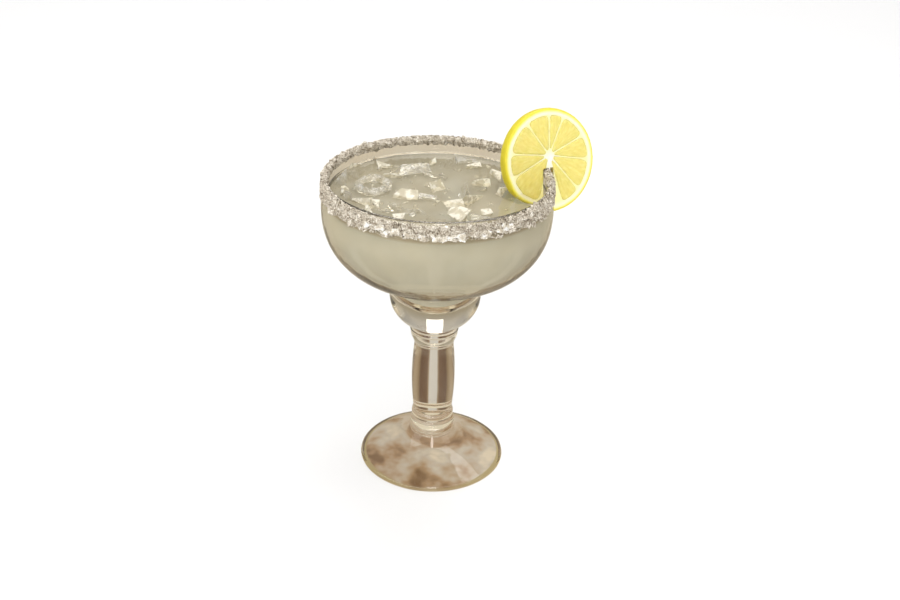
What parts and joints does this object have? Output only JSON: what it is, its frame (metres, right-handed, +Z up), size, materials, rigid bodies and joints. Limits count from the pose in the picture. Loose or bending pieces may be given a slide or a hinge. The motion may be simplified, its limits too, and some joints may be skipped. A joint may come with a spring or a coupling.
{
  "type": "margarita cocktail",
  "caption": "Stepped stem glass with a salted rim, filled with a pale cloudy drink with crushed ice, and a citrus wheel slit onto the rim.",
  "frame": {"origin": "middle of the foot's underside", "axes": "+Z up along the glass, +X towards the citrus wheel on the rim, the shown front along -Y"},
  "size_m": [0.1366, 0.1164, 0.1922],
  "materials": {
    "glass": "clear pressed glass with a warm grey-brown cast, polished",
    "drink": "cloudy grey-beige liquid with a wet surface",
    "ice": "crushed ice, wet and partly clear",
    "salt": "coarse off-white salt crystals, rough",
    "peel": "yellow citrus rind with a satin, pitted skin over cream pith and membranes",
    "pulp": "wet, pale yellow citrus flesh, slightly see-through"
  },
  "bodies": {
    "root": {"glass": "glass", "drink": "drink", "salt_rim": "salt", "wheel_peel": "peel", "wheel_pulp_1": "pulp", "wheel_pulp_2": "pulp", "wheel_pulp_3": "pulp", "wheel_pulp_4": "pulp", "wheel_pulp_5": "pulp", "wheel_pulp_6": "pulp", "wheel_pulp_7": "pulp", "wheel_pulp_8": "pulp", "wheel_pulp_9": "pulp"}
  },
  "joints": []
}
